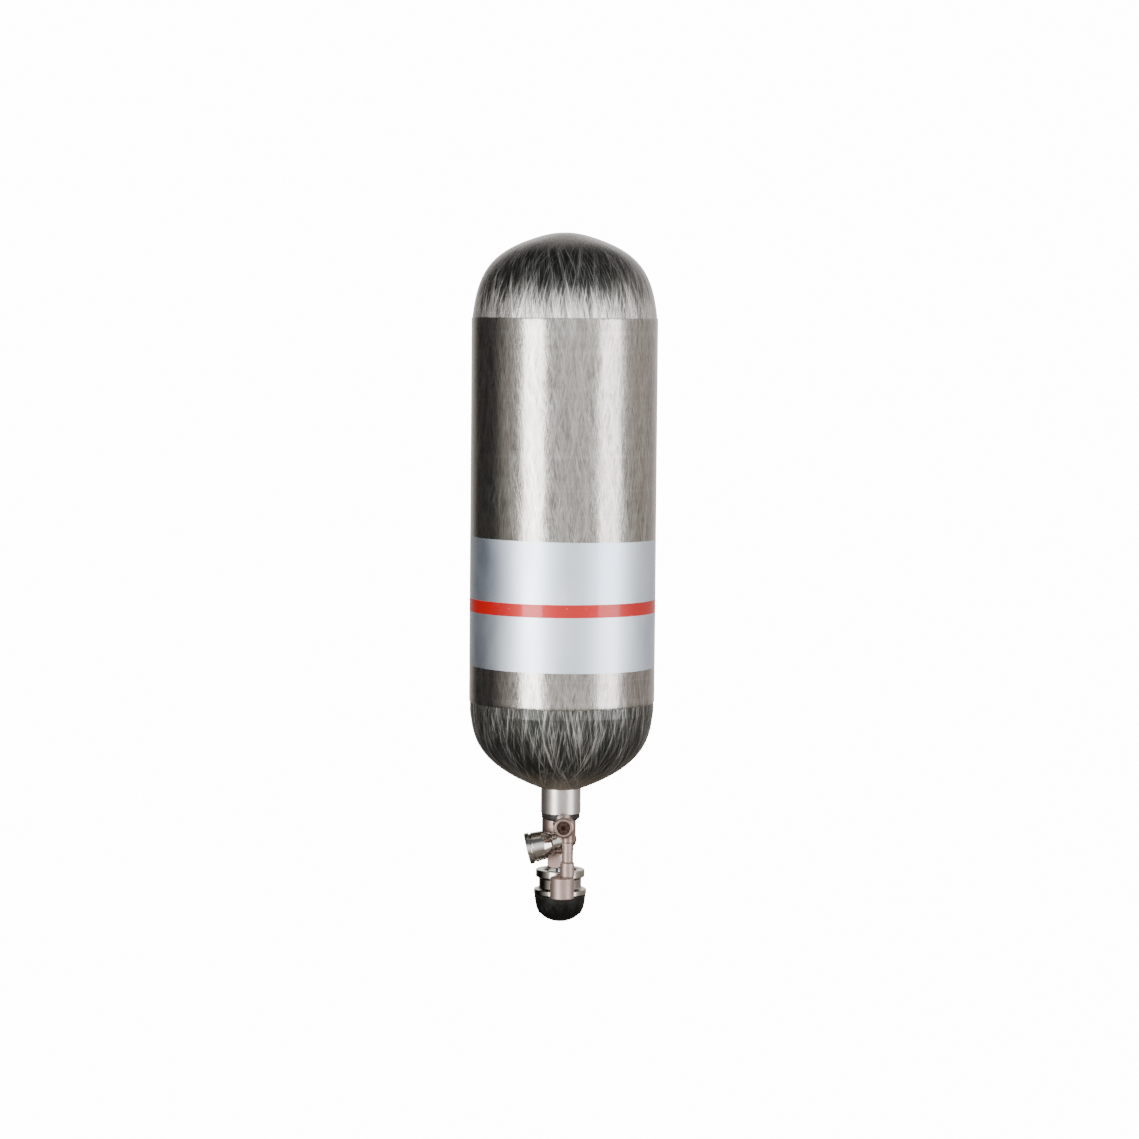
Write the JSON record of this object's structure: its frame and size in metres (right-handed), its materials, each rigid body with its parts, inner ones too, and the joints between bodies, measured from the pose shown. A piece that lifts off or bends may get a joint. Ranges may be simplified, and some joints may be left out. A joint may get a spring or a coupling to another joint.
{
  "type": "breathing apparatus cylinder",
  "caption": "Composite air cylinder for a breathing apparatus, hanging valve down, with in-line valve, gauge, side outlet and press-and-turn handwheel.",
  "frame": {"origin": "on the cylinder's axis, half way along the straight hoop-wrapped wall that a cylinder band clamps", "axes": "+Z along the cylinder's axis towards the closed dome (the valve hangs down), -Y towards the front, where the gauge and the burst-disc plug are, -X towards the outlet's side"},
  "size_m": [0.174, 0.174, 0.6454],
  "materials": {
    "aluminium": "polished",
    "carbon": "gloss",
    "glass_wrap": "gloss",
    "label": "satin",
    "seal_rubber": "matte",
    "collar": "satin",
    "nickel": "satin",
    "brass": "satin",
    "bronze": "matte",
    "chrome": "polished",
    "steel": "satin",
    "seat_plastic": "satin",
    "wheel_alloy": "polished",
    "bumper_rubber": "satin",
    "dial": "matte",
    "pointer": "matte",
    "lens": "gloss"
  },
  "bodies": {
    "root": {"liner": "aluminium", "carbon_overwrap": "carbon", "glass_hoop_wrap": "glass_wrap", "label_band": "label", "neck_o_ring": "seal_rubber", "neck_collar": "collar", "valve_body": "nickel", "anti_debris_tube": "brass", "inlet_filter": "bronze", "burst_disc": "brass", "burst_disc_gasket": "bronze", "burst_disc_plug": "nickel", "outlet_connector": "chrome", "outlet_o_ring": "seal_rubber", "gland_nut": "nickel", "gland_gasket": "seal_rubber", "stem_o_rings": "seal_rubber", "thrust_washer": "seat_plastic", "gauge_stem": "nickel", "gauge_o_ring": "seal_rubber", "gauge_case": "nickel", "gauge_dial": "dial", "bourdon_coil": "bronze", "coil_foot": "bronze", "gauge_lens": "lens", "lens_ring": "nickel"},
    "spindle": {"spindle": "steel", "spring_washer": "steel", "handwheel_spring": "steel", "handwheel_nut": "steel"},
    "handwheel": {"handwheel": "wheel_alloy", "handwheel_bumper": "bumper_rubber"},
    "seat_carrier": {"seat_carrier": "nickel", "seat_disc": "seat_plastic"},
    "pointer": {"pointer_shaft": "steel", "gauge_pointer": "pointer"}
  },
  "joints": [
    {"name": "handwheel_turn", "type": "hinge", "parent": "root", "child": "spindle", "pos_m": [0, 0, -0.3545], "axis": [0, 0, -1], "range_deg": [0, 900]},
    {"name": "seat_lift", "type": "slide", "parent": "spindle", "child": "seat_carrier", "axis": [0, 0, -1], "range_m": [0, 0.0032]},
    {"name": "handwheel_press", "type": "slide", "parent": "spindle", "child": "handwheel", "axis": [0, 0, 1], "range_m": [0, 0.0025], "stiffness_N_per_m": 1500, "springref_m": -0.004, "deforming": ["handwheel_spring"]},
    {"name": "pointer_turn", "type": "hinge", "parent": "root", "child": "pointer", "pos_m": [0.0019, -0.0385, -0.3545], "axis": [0, 0, 1], "range_deg": [0, 270]}
  ],
  "couplings": [
    {"joint": "seat_lift", "follows": "handwheel_turn", "m_per_rad": 0.00019894}
  ]
}
